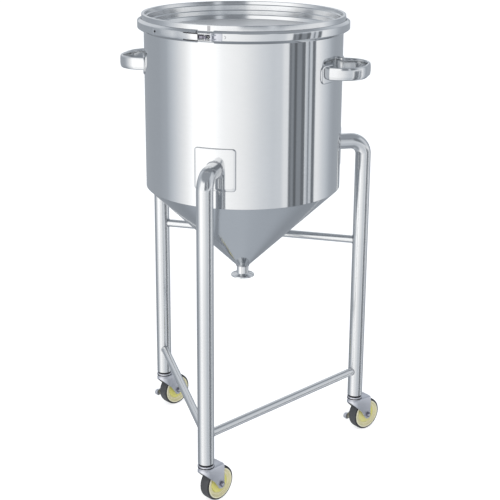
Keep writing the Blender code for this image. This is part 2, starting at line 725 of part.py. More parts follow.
def make_caster(side, angle):
    swivel = axis_empty("swivel_axis_" + side, None,
                        leg_matrix(angle) @ Matrix.Rotation(TRAIL_ANGLES[side], 4, "Z"))
    axle = axis_empty("axle_axis_" + side, None, swivel.matrix_world @ wheel_matrix())
    make_stem(side, angle)
    make_fork(side, swivel)
    make_axle(side, swivel)
    make_wheel(side, axle)
    if side in BRAKED:
        make_pedal(side, swivel)


def move_to_origin():
    """Puts the vessel's axis in its place beside the origin."""
    bpy.context.view_layer.update()
    for thing in bpy.data.objects:
        if thing.parent is None:
            thing.matrix_world = Matrix.Translation(VESSEL_AXIS) @ thing.matrix_world


def main():
    make_shell()
    cone_end = make_cone()
    make_ferrule(cone_end)
    make_lid()
    make_gasket()
    make_band()
    make_latch_bracket()
    make_lever()
    make_link()
    make_handle("right", 0.0)
    make_handle("left", pi)
    for side, angle in LEG_ANGLES.items():
        make_leg(side, angle)
        make_caster(side, angle)
    for name, (first, second, height) in BRACES.items():
        make_brace(name, first, second, height)
    move_to_origin()


clear_scene()
GROUPS = make_collections()
STOCK = make_materials()
main()
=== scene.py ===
"""Looks of a mobile stainless hopper vessel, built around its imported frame.

Metres, +Z up. The vessel's own axis stands at AXIS, and the front leg is on its -Y side.
"""

from math import asin, copysign, cos, hypot, pi, radians, sin, sqrt, tan

import bmesh
import bpy
from mathutils import Matrix, Vector


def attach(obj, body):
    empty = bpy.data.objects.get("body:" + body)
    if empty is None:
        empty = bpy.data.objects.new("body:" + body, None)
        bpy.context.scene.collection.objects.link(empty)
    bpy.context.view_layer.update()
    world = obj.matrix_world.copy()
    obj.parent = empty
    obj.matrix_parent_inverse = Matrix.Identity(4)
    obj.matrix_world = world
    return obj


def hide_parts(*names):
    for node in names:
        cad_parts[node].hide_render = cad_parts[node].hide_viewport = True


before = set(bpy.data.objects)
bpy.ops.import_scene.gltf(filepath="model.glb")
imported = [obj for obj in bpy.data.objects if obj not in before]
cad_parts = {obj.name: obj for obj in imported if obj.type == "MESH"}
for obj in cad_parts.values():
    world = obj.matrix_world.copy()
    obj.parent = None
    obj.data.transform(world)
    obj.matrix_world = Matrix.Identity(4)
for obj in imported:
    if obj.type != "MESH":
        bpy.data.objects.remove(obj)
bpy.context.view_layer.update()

MM = 0.001
AXIS = Vector((-5 * MM, 35 * MM, 0))

# Vessel, lid and band, as in the frame
RIM_Z = 978 * MM
BODY_R = 205 * MM
WALL = 2 * MM
SEAM_Z = 617 * MM
CONE_SLOPE = radians(44)
NECK_R = 12.7 * MM
NECK_WALL = 1.65 * MM
FERRULE_Z = 408 * MM
FERRULE_R = 25.25 * MM
RING_R = 209.2 * MM
FLANGE_R = 215.4 * MM
LID_STEPS = ((202.5 * MM, 7.5 * MM), (199.5 * MM, 19.0 * MM), (196.5 * MM, 29.0 * MM))
DISC_R = 193.5 * MM
DISC_DEPTH = 38 * MM
BAND_R = 217.9 * MM
BAND_SHEET = 1.8 * MM
BAND_DEPTHS = (10.2 * MM, 14.3 * MM, 28.5 * MM, 35.0 * MM)
BAND_LIPS = (211.0 * MM, 207.6 * MM)
BAND_GAP = (radians(-9.2), radians(0.2))
LEVER_R = 219.2 * MM

# Legs, pads, braces and handles, as in the frame
LEG_CIRCLE_R = 269.5 * MM
LEG_R = 16.85 * MM
LEG_BEND_R = 30 * MM
LEG_TOP_Z = 696 * MM
LEG_FOOT_Z = 94 * MM
LEG_ANGLES = {"front": radians(-90), "right": radians(30), "left": radians(150)}
PAD_SIDE = 84 * MM
PAD_SHEET = 2.5 * MM
PAD_CORNER = 6 * MM
BRACE_R = 8.65 * MM
BRACES = {
    "brace_front_left": ("front", "left", 154 * MM),
    "brace_front_right": ("front", "right", 154 * MM),
    "brace_rear": ("left", "right", 468 * MM),
}
HANDLE_Z = 872 * MM
HANDLE_REACH = 263 * MM
HANDLE_HALF_SPAN = 69 * MM
HANDLE_BEND_R = 50 * MM
HANDLE_THICK = 7 * MM
HANDLE_TALL = 26 * MM
FOOT = (46 * MM, 35 * MM, 11 * MM)  # width, height and corner

# Casters, as in the frame
TRAIL_ANGLES = {"front": radians(61.5), "right": radians(52.5), "left": radians(58.5)}
TRAIL = 30 * MM
WHEEL_R = 37.5 * MM
TYRE_HALF = 12 * MM
CENTRE_R = 32.7 * MM
AXLE_R = 4 * MM
FORK_HALF = 16.2 * MM

# Camera, fitted to the photograph
VIEW_SIDE = radians(15.76)  # to the right of the front leg
CAMERA_DISTANCE = 2.4107
CAMERA_HEIGHT = 1.2711
CAMERA_YAW = radians(0.831)
CAMERA_PITCH = radians(16.667)
CAMERA_ROLL = radians(0.509)
CAMERA_LENS = 84.20
CAMERA_SHIFT = (-0.01836, -0.074)
SENSOR = 36.0

TO_CAMERA = Vector((sin(VIEW_SIDE), -cos(VIEW_SIDE), 0))
TO_RIGHT = Vector((cos(VIEW_SIDE), sin(VIEW_SIDE), 0))


def link(tree, source, target):
    tree.links.new(source, target)


def feed(tree, socket, value):
    """Sets a socket to a number or a colour, or links another socket to it."""
    if isinstance(value, bpy.types.NodeSocket):
        link(tree, value, socket)
    else:
        socket.default_value = value


def maths(tree, operation, *values):
    node = tree.nodes.new("ShaderNodeMath")
    node.operation = operation
    for socket, value in zip(node.inputs, values):
        feed(tree, socket, value)
    return node.outputs[0]


def ramped(tree, value, low, high, to_low=0.0, to_high=1.0, kind="SMOOTHSTEP"):
    """Maps low..high to to_low..to_high, clamped."""
    node = tree.nodes.new("ShaderNodeMapRange")
    node.interpolation_type = kind
    for name, number in (("From Min", low), ("From Max", high), ("To Min", to_low), ("To Max", to_high)):
        node.inputs[name].default_value = number
    link(tree, value, node.inputs["Value"])
    return node.outputs["Result"]


def mixed(tree, share, first, second):
    """A colour or a number between first and second."""
    node = tree.nodes.new("ShaderNodeMix")
    node.data_type = "RGBA"
    feed(tree, node.inputs["Factor"], share)
    feed(tree, node.inputs["A"], first)
    feed(tree, node.inputs["B"], second)
    return node.outputs["Result"]


# The studio round the vessel, as seen in polished steel. Angles are in degrees: azimuths run to
# the right from the camera's side, and elevations up from the horizon.
WALLS = (  # azimuth and brightness of the room at the height that upright steel mirrors
    (-180, 0.41), (-114, 0.44), (-100, 0.50), (-85, 0.78), (-70, 1.10), (-58, 1.45), (-36, 1.45),
    (-24, 1.24), (0, 1.08), (20, 0.86), (34, 0.76), (44, 0.78), (48, 0.95), (96, 1.02), (106, 0.80),
    (122, 0.50), (130, 0.44), (180, 0.41),
)
HIGHER = (  # the same from a little over the horizon up to the ceiling
    (-180, 0.80), (-150, 0.75), (-110, 0.55), (-80, 0.80), (-58, 1.35), (-8, 1.25), (-1, 0.30),
    (26, 0.28), (29, 0.80), (35, 0.80), (38, 0.24), (56, 0.27), (66, 0.50), (84, 0.80), (104, 0.80),
    (124, 0.42), (150, 0.60), (180, 0.80),
)
CEILING = 0.38
GROUND = ((-180, 0.68), (-110, 0.66), (-60, 0.50), (60, 0.42), (120, 0.50), (180, 0.68))
FLAGS = (  # azimuth, half width, darkness
    (64.3, 11.0, 0.68),
    (55.4, 1.2, 0.30),
    (62.0, 1.8, 0.50),
    (73.0, 2.6, 0.42),
    (80.7, 1.1, 0.58),
    (83.0, 6.6, 0.30),
    (88.5, 2.6, 0.72),
)
FLAG_LOW = -48
FLAG_HIGH = -5


def angle_from(tree, vector):
    """Azimuth and elevation of a direction, in degrees."""
    parts = []
    for axis in (TO_RIGHT, TO_CAMERA, Vector((0, 0, 1))):
        node = tree.nodes.new("ShaderNodeVectorMath")
        node.operation = "DOT_PRODUCT"
        link(tree, vector, node.inputs[0])
        node.inputs[1].default_value = axis
        parts.append(node.outputs["Value"])
    azimuth = maths(tree, "MULTIPLY", maths(tree, "ARCTAN2", parts[0], parts[1]), 180 / pi)
    elevation = maths(tree, "MULTIPLY", maths(tree, "ARCSINE", parts[2]), 180 / pi)
    return azimuth, elevation


def room_ring(tree, azimuth, stops):
    """Brightness round the room, from pairs of azimuth and brightness."""
    node = tree.nodes.new("ShaderNodeValToRGB")
    made = node.color_ramp.elements
    peak = max(level for _, level in stops)
    for index, (place, level) in enumerate(stops):
        where = (place + 180) / 360
        stop = made[index] if index < 2 else made.new(where)
        stop.position = where
        stop.color = (level / peak, level / peak, level / peak, 1.0)
    link(tree, ramped(tree, azimuth, -180, 180, kind="LINEAR"), node.inputs["Fac"])
    return maths(tree, "MULTIPLY", node.outputs["Color"], peak)


def make_world():
    world = bpy.data.worlds.new("studio")
    bpy.context.scene.world = world
    world.use_nodes = True
    tree = world.node_tree
    tree.nodes.clear()
    direction = tree.nodes.new("ShaderNodeTexCoord").outputs["Generated"]
    azimuth, elevation = angle_from(tree, direction)
    level = room_ring(tree, azimuth, WALLS)
    inside = maths(tree, "MULTIPLY", ramped(tree, elevation, FLAG_LOW - 12, FLAG_LOW),
                   ramped(tree, elevation, FLAG_HIGH, FLAG_HIGH + 6, 1.0, 0.0))
    for place, half, dark in FLAGS:
        off = maths(tree, "ABSOLUTE", maths(tree, "SUBTRACT", azimuth, place))
        mask = maths(tree, "MULTIPLY", ramped(tree, off, half - 0.5, half + 0.5, dark, 0.0), inside)
        level = maths(tree, "MULTIPLY", level, maths(tree, "SUBTRACT", 1.0, mask))
    for kind, share in ((room_ring(tree, azimuth, HIGHER), ramped(tree, elevation, 2, 10)),
                        (CEILING, ramped(tree, elevation, 36, 50)),
                        (room_ring(tree, azimuth, GROUND), ramped(tree, elevation, -62, -44, 1.0, 0.0))):
        level = maths(tree, "ADD", maths(tree, "MULTIPLY", level, maths(tree, "SUBTRACT", 1.0, share)),
                      maths(tree, "MULTIPLY", share, kind))
    level = maths(tree, "MULTIPLY", level, ramped(tree, elevation, -21, -17, 0.86, 1.0))
    tint = mixed(tree, ramped(tree, level, 0.4, 1.2), (0.93, 1.0, 1.09, 1.0), (1.0, 1.0, 1.0, 1.0))
    room = tree.nodes.new("ShaderNodeBackground")
    link(tree, tint, room.inputs["Color"])
    link(tree, level, room.inputs["Strength"])
    plain = tree.nodes.new("ShaderNodeBackground")
    plain.inputs["Strength"].default_value = 1.1
    seen = tree.nodes.new("ShaderNodeLightPath").outputs["Is Camera Ray"]
    choice = tree.nodes.new("ShaderNodeMixShader")
    link(tree, seen, choice.inputs["Fac"])
    link(tree, room.outputs[0], choice.inputs[1])
    link(tree, plain.outputs[0], choice.inputs[2])
    output = tree.nodes.new("ShaderNodeOutputWorld")
    link(tree, choice.outputs[0], output.inputs["Surface"])


# Materials


def material(name, colour, metallic, roughness):
    made = bpy.data.materials.new(name)
    made.use_nodes = True
    shader = made.node_tree.nodes["Principled BSDF"]
    shader.inputs["Base Color"].default_value = (*colour, 1.0)
    shader.inputs["Metallic"].default_value = metallic
    shader.inputs["Roughness"].default_value = roughness
    return made, made.node_tree, shader


def stretched(tree, scale):
    """Object coordinates stretched by a different amount along each axis."""
    node = tree.nodes.new("ShaderNodeMapping")
    node.inputs["Scale"].default_value = scale
    link(tree, tree.nodes.new("ShaderNodeTexCoord").outputs["Object"], node.inputs["Vector"])
    return node.outputs["Vector"]


def noise(tree, scale, detail=3.0, vector=None):
    node = tree.nodes.new("ShaderNodeTexNoise")
    node.inputs["Scale"].default_value = scale
    node.inputs["Detail"].default_value = detail
    link(tree, vector or stretched(tree, (1, 1, 1)), node.inputs["Vector"])
    return node.outputs["Fac"]


def bumped(tree, shader, height, strength, distance, under=None):
    node = tree.nodes.new("ShaderNodeBump")
    node.inputs["Strength"].default_value = strength
    node.inputs["Distance"].default_value = distance
    link(tree, height, node.inputs["Height"])
    if under is not None:
        link(tree, under, node.inputs["Normal"])
    link(tree, node.outputs["Normal"], shader.inputs["Normal"])
    return node.outputs["Normal"]


def steel(name, colour, roughness, grain, waves, metallic=1.0):
    """Metal with a fine grain, slow waves in its surface and patches of duller polish."""
    made, tree, shader = material(name, colour, metallic, roughness)
    patches = noise(tree, 9.0)
    streaks = noise(tree, 60.0, 2.0, stretched(tree, (1, 1, 9)))
    dull = maths(tree, "ADD", maths(tree, "MULTIPLY", patches, 0.5), maths(tree, "MULTIPLY", streaks, 0.5))
    rough = ramped(tree, dull, 0.3, 0.7, roughness * 0.92, roughness * 1.10)
    link(tree, rough, shader.inputs["Roughness"])
    shade = ramped(tree, dull, 0.3, 0.7)
    darker = tuple(0.975 * part for part in colour)
    link(tree, mixed(tree, shade, (*colour, 1.0), (*darker, 1.0)), shader.inputs["Base Color"])
    slow = bumped(tree, shader, noise(tree, 5.0, 1.0), 1.0, waves)
    bumped(tree, shader, noise(tree, 900.0, 2.0), grain, 0.05 * MM, slow)
    return made


def rubber(name, colour, roughness):
    made, tree, shader = material(name, colour, 0.0, roughness)
    dust = ramped(tree, noise(tree, 45.0, 5.0), 0.45, 0.75)
    dusty = tuple(part + 0.035 for part in colour)
    link(tree, mixed(tree, dust, (*colour, 1.0), (*dusty, 1.0)), shader.inputs["Base Color"])
    link(tree, ramped(tree, dust, 0.0, 1.0, roughness, roughness + 0.2), shader.inputs["Roughness"])
    bumped(tree, shader, noise(tree, 1500.0), 0.35, 0.1 * MM)
    return made


def plastic(name, colour, shade, roughness):
    made, tree, shader = material(name, colour, 0.0, roughness)
    cloud = ramped(tree, noise(tree, 35.0, 4.0), 0.35, 0.7)
    link(tree, mixed(tree, cloud, (*colour, 1.0), (*shade, 1.0)), shader.inputs["Base Color"])
    bumped(tree, shader, noise(tree, 700.0), 0.2, 0.08 * MM)
    return made


MIRROR = steel("mirror_steel", (0.74, 0.75, 0.76), 0.07, 0.02, 0.02 * MM)
PIPE = steel("pipe_steel", (0.73, 0.74, 0.75), 0.15, 0.01, 0.01 * MM)
SATIN = steel("satin_steel", (0.64, 0.66, 0.68), 0.10, 0.03, 0.05 * MM)
LID = steel("lid_steel", (0.74, 0.75, 0.76), 0.15, 0.02, 0.02 * MM)
DISC = steel("disc_steel", (0.72, 0.73, 0.74), 0.50, 0.05, 0.03 * MM, 0.55)
# Dark grey steel: the dressed weld's own tone, and the painted shadows beside the bracket's rivets.
SEAM_AND_SHADOW = steel("seam_steel_and_shadow", (0.42, 0.42, 0.43), 0.28, 0.05, 0.02 * MM)
WELD = steel("weld_steel", (0.50, 0.51, 0.53), 0.22, 0.10, 0.03 * MM)
PRESSED = steel("pressed_steel", (0.72, 0.73, 0.78), 0.42, 0.02, 0.02 * MM)
BOLT = steel("bolt_steel", (0.28, 0.27, 0.32), 0.30, 0.04, 0.02 * MM)
# Near-black steel, for the lever's rivet, and for the painted shade under the lever's raised end and in the
# casters' race gaps.
DARK_AND_SHADE = steel("dark_steel_and_shade", (0.05, 0.05, 0.055), 0.45, 0.05, 0.02 * MM)
GASKET = rubber("gasket_rubber", (0.62, 0.62, 0.60), 0.55)
TYRE = rubber("tyre_rubber", (0.022, 0.022, 0.025), 0.55)
TREAD = rubber("tread_rubber", (0.055, 0.057, 0.062), 0.60)
WHEEL = plastic("wheel_plastic", (0.62, 0.58, 0.36), (0.58, 0.54, 0.34), 0.42)
HUB = plastic("hub_plastic", (0.58, 0.55, 0.14), (0.60, 0.56, 0.24), 0.42)
BORDER = plastic("border_plastic", (0.70, 0.67, 0.50), (0.64, 0.62, 0.44), 0.40)


# Shapes


def show(name, mesh, finish, body, slot, *nodes):
    """A piece of the vessel that rides on a body and may stand for nodes of the frame."""
    thing = bpy.data.objects.new(name, mesh)
    bpy.context.scene.collection.objects.link(thing)
    mesh.materials.clear()
    mesh.materials.append(finish)
    mesh.shade_smooth()
    mesh.set_sharp_from_angle(angle=radians(40))
    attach(thing, body)
    if nodes:
        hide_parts(*nodes)
    return thing


def arc(cx, cy, radius, start, end, count):
    turns = [start + (end - start) * i / count for i in range(count + 1)]
    return [(cx + radius * cos(a), cy + radius * sin(a)) for a in turns]


def eased(points, count=4, closed=True):
    """An outline of (x, y, corner radius) points, with its corners rounded."""
    made = []
    total = len(points)
    for i, (x, y, radius) in enumerate(points):
        here = Vector((x, y))
        ends = (0, total - 1)
        if radius == 0 or (not closed and i in ends):
            made.append((x, y))
            continue
        back = Vector(points[i - 1][:2]) - here
        ahead = Vector(points[(i + 1) % total][:2]) - here
        half = back.angle(ahead) / 2
        reach = min(radius / tan(half), 0.49 * back.length, 0.49 * ahead.length)
        radius = reach * tan(half)
        start = here + back.normalized() * reach
        end = here + ahead.normalized() * reach
        middle = here + (back.normalized() + ahead.normalized()).normalized() * (radius / sin(half))
        first = start - middle
        last = end - middle
        turn = first.angle_signed(last)
        for k in range(count + 1):
            a = -turn * k / count
            made.append((middle.x + first.x * cos(a) - first.y * sin(a),
                         middle.y + first.x * sin(a) + first.y * cos(a)))
    return made


def grid_mesh(name, rings, closed_round, closed_along, caps=False):
    """A skin over rings of points. Rings close on themselves and may close along the row."""
    work = bmesh.new()
    made = [[work.verts.new(point) for point in ring] for ring in rings]
    rows = len(made) if closed_along else len(made) - 1
    for i in range(rows):
        first = made[i]
        second = made[(i + 1) % len(made)]
        count = len(first) if closed_round else len(first) - 1
        for k in range(count):
            after = (k + 1) % len(first)
            work.faces.new((first[k], first[after], second[after], second[k]))
    if caps:
        work.faces.new(made[0])
        work.faces.new(made[-1])
    bmesh.ops.remove_doubles(work, verts=work.verts, dist=0.000002)
    bmesh.ops.recalc_face_normals(work, faces=work.faces)
    mesh = bpy.data.meshes.new(name)
    work.to_mesh(mesh)
    work.free()
    return mesh


def turned_mesh(name, profile, steps=192, start=0.0, end=2 * pi, closed=True, place=None):
    """A profile of (radius, height) points turned about Z, all round or from start to end."""
    whole = end - start > 2 * pi - 0.001
    count = steps if whole else steps + 1
    rings = []
    for i in range(count):
        a = start + (end - start) * i / steps
        rings.append([(r * cos(a), r * sin(a), z) for r, z in profile])
    mesh = grid_mesh(name, rings, closed, whole, caps=not whole)
    if place is not None:
        mesh.transform(place)
    return mesh


def swept_mesh(name, path, section, up, closed=False):
    """A section of (side, up) points swept along a path that lies in one plane, across up."""
    rings = []
    total = len(path)
    for i, point in enumerate(path):
        if closed:
            run = (path[(i + 1) % total] - point).normalized() + (point - path[i - 1]).normalized()
        else:
            run = path[min(i + 1, total - 1)] - path[max(i - 1, 0)]
        side = run.normalized().cross(up)
        rings.append([point + side * s + up * u for s, u in section])
    return grid_mesh(name, rings, True, closed, caps=not closed)


def bead_mesh(name, path, radius, closed, ripple=0.0, step=0.0):
    """A weld bead: a thin round tube along a path in space, with a ripple along it."""
    rings = []
    total = len(path)
    length = 0.0
    for i, point in enumerate(path):
        if closed:
            run = path[(i + 1) % total] - path[i - 1]
        else:
            run = path[min(i + 1, total - 1)] - path[max(i - 1, 0)]
        side = run.orthogonal() if i == 0 else side - run * (side.dot(run) / run.dot(run))
        side.normalize()
        other = run.normalized().cross(side)
        length += (point - path[i - 1]).length if i else 0.0
        size = radius * (1 + ripple * sin(length / step * 2 * pi)) if ripple else radius
        rings.append([point + side * (size * cos(a)) + other * (size * sin(a))
                      for a in (2 * pi * k / 8 for k in range(8))])
    return grid_mesh(name, rings, True, closed, caps=not closed)


def circle(radius, count):
    return arc(0, 0, radius, 0, 2 * pi * (count - 1) / count, count - 1)


def plate_mesh(name, outline, low, high, bevel=0.0):
    """A flat outline in XY, extruded from low to high, with its rims rounded."""
    work = bmesh.new()
    bottom = [work.verts.new((x, y, low)) for x, y in outline]
    face = work.faces.new(bottom)
    lifted = bmesh.ops.extrude_face_region(work, geom=[face])
    for item in lifted["geom"]:
        if isinstance(item, bmesh.types.BMVert):
            item.co.z = high
    bmesh.ops.recalc_face_normals(work, faces=work.faces)
    if bevel:
        rims = [edge for edge in work.edges if abs(edge.verts[0].co.z - edge.verts[1].co.z) < 1e-7]
        bmesh.ops.bevel(work, geom=rims, offset=bevel, segments=2, profile=0.5, affect="EDGES")
    mesh = bpy.data.meshes.new(name)
    work.to_mesh(mesh)
    work.free()
    return mesh


def softened_mesh(node, width, segments=2):
    """The shape of a frame node, with its edges rounded."""
    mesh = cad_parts[node].data.copy()
    work = bmesh.new()
    work.from_mesh(mesh)
    bmesh.ops.remove_doubles(work, verts=work.verts, dist=0.00002)
    bmesh.ops.dissolve_limit(work, angle_limit=radians(1.5), verts=work.verts, edges=work.edges)
    sharp = [edge for edge in work.edges if len(edge.link_faces) == 2 and edge.calc_face_angle() > radians(30)]
    bmesh.ops.bevel(work, geom=sharp, offset=width, segments=segments, profile=0.5, affect="EDGES",
                    clamp_overlap=True)
    bmesh.ops.triangulate(work, faces=[face for face in work.faces if len(face.verts) > 4])
    work.to_mesh(mesh)
    work.free()
    return mesh


def from_front(angle):
    return radians(-90) + angle


def around(radius, angle, height=0.0):
    """A point at this radius, angle from the front leg and height."""
    return AXIS + Vector((radius * sin(angle), -radius * cos(angle), height))


AT_AXIS = Matrix.Translation(AXIS)


# Vessel


def make_shell():
    top = RIM_Z - 23.5 * MM
    inside = BODY_R - WALL
    profile = eased([
        (inside, top, 0),
        (FLANGE_R, top, 0.8 * MM),
        (FLANGE_R, top - 3.5 * MM, 0.8 * MM),
        (BODY_R, top - 9.7 * MM, 3 * MM),
        (BODY_R, SEAM_Z, 0),
        (inside, SEAM_Z, 0),
    ])
    show("shell", turned_mesh("shell", profile, 256, place=AT_AXIS), MIRROR, "vessel", "mirror_steel", "tank_shell")


def make_cone():
    slope = tan(CONE_SLOPE)
    bottom = SEAM_Z - (BODY_R - NECK_R) * slope
    lift = WALL / cos(CONE_SLOPE)
    bore = NECK_R - NECK_WALL
    profile = [(BODY_R, SEAM_Z - 0.1 * MM), (NECK_R, bottom), (bore, bottom),
               (bore, bottom + lift - NECK_WALL * slope), (BODY_R - WALL, SEAM_Z - 0.1 * MM)]
    show("cone", turned_mesh("cone", profile, 256, place=AT_AXIS), SATIN, "vessel", "satin_steel", "tank_cone")
    return bottom


def make_outlet(top):
    bore = NECK_R - NECK_WALL
    lip = 2.85 * MM
    profile = eased([
        (bore, top, 0),
        (NECK_R, top, 0),
        (NECK_R, FERRULE_Z + 2.1 * lip, 1.5 * MM),
        (FERRULE_R, FERRULE_Z + lip, 0.9 * MM),
        (FERRULE_R, FERRULE_Z, 0.6 * MM),
        (22.0 * MM, FERRULE_Z, 0.3 * MM),
        (21.0 * MM, FERRULE_Z + 1.0 * MM, 0.5 * MM),
        (19.8 * MM, FERRULE_Z, 0.3 * MM),
        (bore, FERRULE_Z, 0.5 * MM),
    ], 3)
    mesh = turned_mesh("outlet", profile, 96, place=AT_AXIS)
    show("outlet", mesh, MIRROR, "vessel", "mirror_steel", "outlet_ferrule")
    ring = [around(NECK_R + 0.6 * MM, 2 * pi * i / 96, top + 0.6 * MM) for i in range(96)]
    show("outlet_weld", bead_mesh("outlet_weld", ring, 1.5 * MM, True, 0.08, 2.6 * MM), WELD, "vessel",
         "satin_steel")


def make_lid():
    edge = 1 * MM
    disc_r = DISC_R - 2 * MM
    under = -40 * MM
    points = [(disc_r, -DISC_DEPTH, 0), (DISC_R - 1.0 * MM, -DISC_DEPTH, 0.8 * MM)]
    for radius, depth in reversed(LID_STEPS):
        points += [(radius - 3 * MM, -depth - edge, 0.8 * MM), (radius, -depth, 0.8 * MM)]
    inner = LID_STEPS[0][0]
    points += [(inner + 0.3 * MM, 0.0, 1.2 * MM), (RING_R, 0.0, 1.4 * MM)]
    points += [(RING_R, -12.2 * MM, 2 * MM), (FLANGE_R, -15.9 * MM, 0.6 * MM)]
    points += [(FLANGE_R, -20.5 * MM, 0.5 * MM), (201.5 * MM, -20.5 * MM, 0)]
    points += [(201.5 * MM, under, 1 * MM), (disc_r, under, 0)]
    profile = [(r, RIM_Z + z) for r, z in eased(points, 3)]
    mesh = turned_mesh("lid", profile, 256, place=AT_AXIS)
    show("lid_sheet", mesh, LID, "vessel", "mirror_steel", "lid")
    disc = [(0.0, -DISC_DEPTH), (disc_r, -DISC_DEPTH), (disc_r, under), (0.0, under)]
    mesh = turned_mesh("disc", [(r, RIM_Z + z) for r, z in disc], 128, closed=False, place=AT_AXIS)
    show("lid_disc", mesh, DISC, "vessel", "mirror_steel")
    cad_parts["lid_gasket"].data.materials.clear()
    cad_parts["lid_gasket"].data.materials.append(GASKET)


def make_band():
    """The channel ring, open at the latch, with the rolled edges of its sheet."""
    lip_top, high, low, lip_bottom = (RIM_Z - depth for depth in BAND_DEPTHS)
    outside = [(BAND_LIPS[0], lip_top, 0), (BAND_R, high, 1.6 * MM), (BAND_R, low, 1.6 * MM),
               (BAND_LIPS[1], lip_bottom, 0)]
    inner_r = BAND_R - BAND_SHEET
    inside = [(BAND_LIPS[1] - 0.9 * MM, lip_bottom + 1.5 * MM, 0), (inner_r, low + 0.6 * MM, 0.6 * MM),
              (inner_r, high - 0.6 * MM, 0.6 * MM), (BAND_LIPS[0] - 0.9 * MM, lip_top - 1.5 * MM, 0)]
    profile = eased(outside + inside, 4)
    start = from_front(BAND_GAP[1])
    end = from_front(BAND_GAP[0]) + 2 * pi
    mesh = turned_mesh("band", profile, 256, start, end, place=AT_AXIS)
    show("band", mesh, MIRROR, "vessel", "mirror_steel", "clamp_band")


# Latch, and the marks and painted shadows beside it


def strip(inner, outer, start, end, count=12):
    """Outline, in world XY, of a strip that follows the band, with angles from the front leg."""
    turns = [start + (end - start) * i / count for i in range(count + 1)]
    out = [around(outer, a) for a in turns]
    back = [around(inner, a) for a in reversed(turns)]
    return [(p.x, p.y) for p in out + back]


def make_catch():
    high = RIM_Z - BAND_DEPTHS[1]
    low = RIM_Z - BAND_DEPTHS[2]
    middle = (high + low) / 2
    half = 3.5 * MM
    start = radians(-13.2)
    lip = radians(-10.2)
    end = radians(-9.75)
    foot = strip(BAND_R - 0.2 * MM, BAND_R + 1.2 * MM, start, lip)
    show("catch_foot", plate_mesh("catch_foot", foot, middle - half, middle + half, 0.3 * MM), PRESSED,
         "vessel", "mirror_steel")
    hook = strip(BAND_R - 0.2 * MM, BAND_R + 3.4 * MM, lip, end, 2)
    show("catch_lip", plate_mesh("catch_lip", hook, middle - half, middle + half, 0.4 * MM), PRESSED,
         "vessel", "mirror_steel")


def make_marks():
    """The dressed weld across the lid's ring, and two crescents of painted shadow, dark grey beads beside the
    bracket's dressed rivets.
    """
    seam = strip(RING_R - 0.3 * MM, RING_R + 0.15 * MM, radians(-3.5), radians(-1.8), 4)
    show("ring_weld", plate_mesh("ring_weld", seam, RIM_Z - 11 * MM, RIM_Z - 1.6 * MM), SEAM_AND_SHADOW, "vessel",
         "mirror_steel")
    level = RIM_Z - (BAND_DEPTHS[1] + BAND_DEPTHS[2]) / 2
    for index, place in enumerate((2.4, 6.2)):
        path = []
        for across, up in arc(0, 0, 2.4 * MM, radians(-100), radians(100), 16):
            path.append(around(BAND_R, radians(place) + across / BAND_R, level + up))
        # dark grey crescent beads that paint the rivets' shadows on the band
        show(f"rivet_shadow_{index}", bead_mesh("mark", path, 0.5 * MM, False), SEAM_AND_SHADOW, "vessel", "mirror_steel")


LEVER_BACK = ((-14.6, 6.9), (-12.5, 10.0), (-9.5, 10.5), (-6.3, 11.0))  # degrees, and mm over LEVER_R


def make_lever_shadow_lines():
    """Painted shadow under the lever's raised end: dark beads along its upper and lower rims, and the rivet in its
    strap.
    """
    levels = (RIM_Z - BAND_DEPTHS[1] - 0.3 * MM, RIM_Z - BAND_DEPTHS[2] + 0.3 * MM)
    for name, level in zip(("upper", "lower"), levels):
        path = [around(LEVER_R + rise * MM, radians(angle), level) for angle, rise in LEVER_BACK]
        # dark beads of painted shadow, where the lever's raised end shades the band above and below it
        show("lever_shadow_line_" + name, bead_mesh("rim", path, 1.0 * MM, False), DARK_AND_SHADE, "lever", "mirror_steel")
    at = Matrix.Translation(around(LEVER_R, radians(-36), sum(levels) / 2))
    turn = Matrix.Rotation(radians(-126), 4, "Z") @ Matrix.Rotation(radians(90), 4, "Y")
    rivet = eased([(0.0, 1.9 * MM, 0), (2.0 * MM, 1.9 * MM, 0.5 * MM), (2.0 * MM, 1.7 * MM, 0),
                   (0.0, 1.7 * MM, 0)], 3, closed=False)
    show("lever_rivet", turned_mesh("rivet", rivet, 24, closed=False, place=at @ turn), DARK_AND_SHADE, "lever",
         "mirror_steel")


def make_latch():
    show("bracket", softened_mesh("latch_bracket", 0.35 * MM), PRESSED, "vessel", "pressed_steel",
         "latch_bracket")
    show("lever", softened_mesh("latch_lever", 0.3 * MM), PIPE, "lever", "mirror_steel", "latch_lever")
    show("hook_link", softened_mesh("latch_link", 0.4 * MM), BOLT, "link", "bolt_steel", "latch_link")


# Legs, pads, braces and handles


def on_wall(radius, angle, across, height):
    """A point of the wall, at this distance along it from the upright line at angle."""
    a = angle + across / radius
    return AXIS + Vector((radius * cos(a), radius * sin(a), height))


def rounded_plate(wide, tall, corner, count, spacing):
    """Points round a rectangle with rounded corners, with its sides divided."""
    x_half = wide / 2 - corner
    y_half = tall / 2 - corner
    centres = ((x_half, y_half), (-x_half, y_half), (-x_half, -y_half), (x_half, -y_half))
    points = []
    for i, (cx, cy) in enumerate(centres):
        points += arc(cx, cy, corner, i * pi / 2, (i + 1) * pi / 2, count)
    made = []
    for i, (x, y) in enumerate(points):
        after = points[(i + 1) % len(points)]
        parts = max(1, round(hypot(after[0] - x, after[1] - y) / spacing))
        for k in range(parts):
            made.append((x + (after[0] - x) * k / parts, y + (after[1] - y) * k / parts))
    return made


